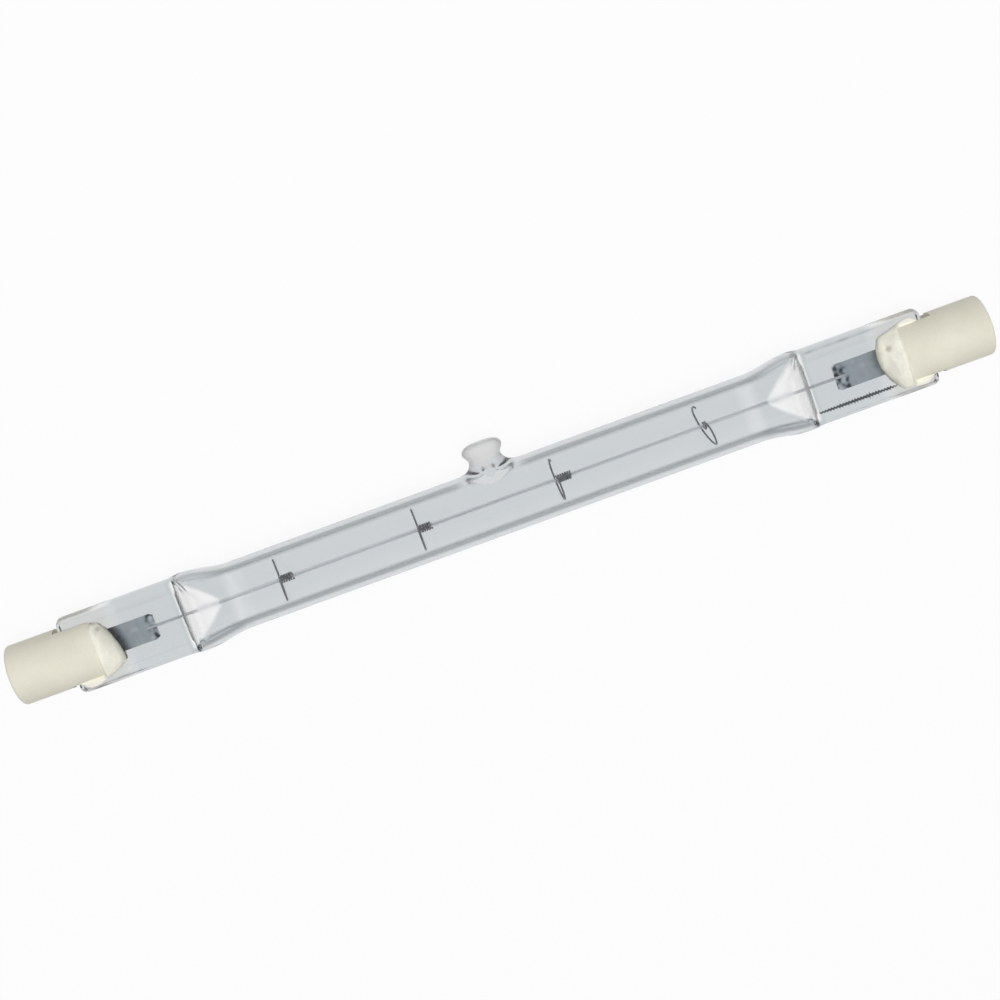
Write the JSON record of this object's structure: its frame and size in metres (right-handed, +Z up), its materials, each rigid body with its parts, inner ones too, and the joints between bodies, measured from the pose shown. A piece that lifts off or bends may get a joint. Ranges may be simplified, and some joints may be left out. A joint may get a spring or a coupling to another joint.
{
  "type": "linear halogen bulb",
  "caption": "Double-ended linear halogen bulb: quartz tube with pressed flat ends, coiled filament on wire supports, slotted ceramic caps with recessed contacts.",
  "frame": {"origin": "on the bulb's axis, midway between the outer rims of its two ceramic caps", "axes": "+X along the bulb's axis to the cap on the picture's right, +Z up from the surface the bulb lies on, +Y to the side on which the exhaust tip touches that surface"},
  "size_m": [0.1176, 0.012, 0.008],
  "materials": {
    "quartz": "clear, fire polished",
    "steatite": "unglazed, matt",
    "cement": "rough, set from paste",
    "nickel": "plated, satin",
    "molybdenum": "drawn wire",
    "foil": "rolled foil, darkened by heat",
    "tungsten": "drawn wire, dull"
  },
  "bodies": {
    "root": {"quartz_envelope": "quartz", "ceramic_cap_left": "steatite", "ceramic_cap_right": "steatite", "cap_cement_left": "cement", "cap_cement_right": "cement", "contact_button_left": "nickel", "contact_button_right": "nickel", "outer_lead_left": "molybdenum", "outer_lead_right": "molybdenum", "seal_foil_left": "foil", "seal_foil_right": "foil", "inner_lead_left": "tungsten", "inner_lead_right": "tungsten", "filament": "tungsten", "filament_support_1": "tungsten", "filament_support_2": "tungsten", "filament_support_3": "tungsten", "filament_support_4": "tungsten"}
  },
  "joints": []
}
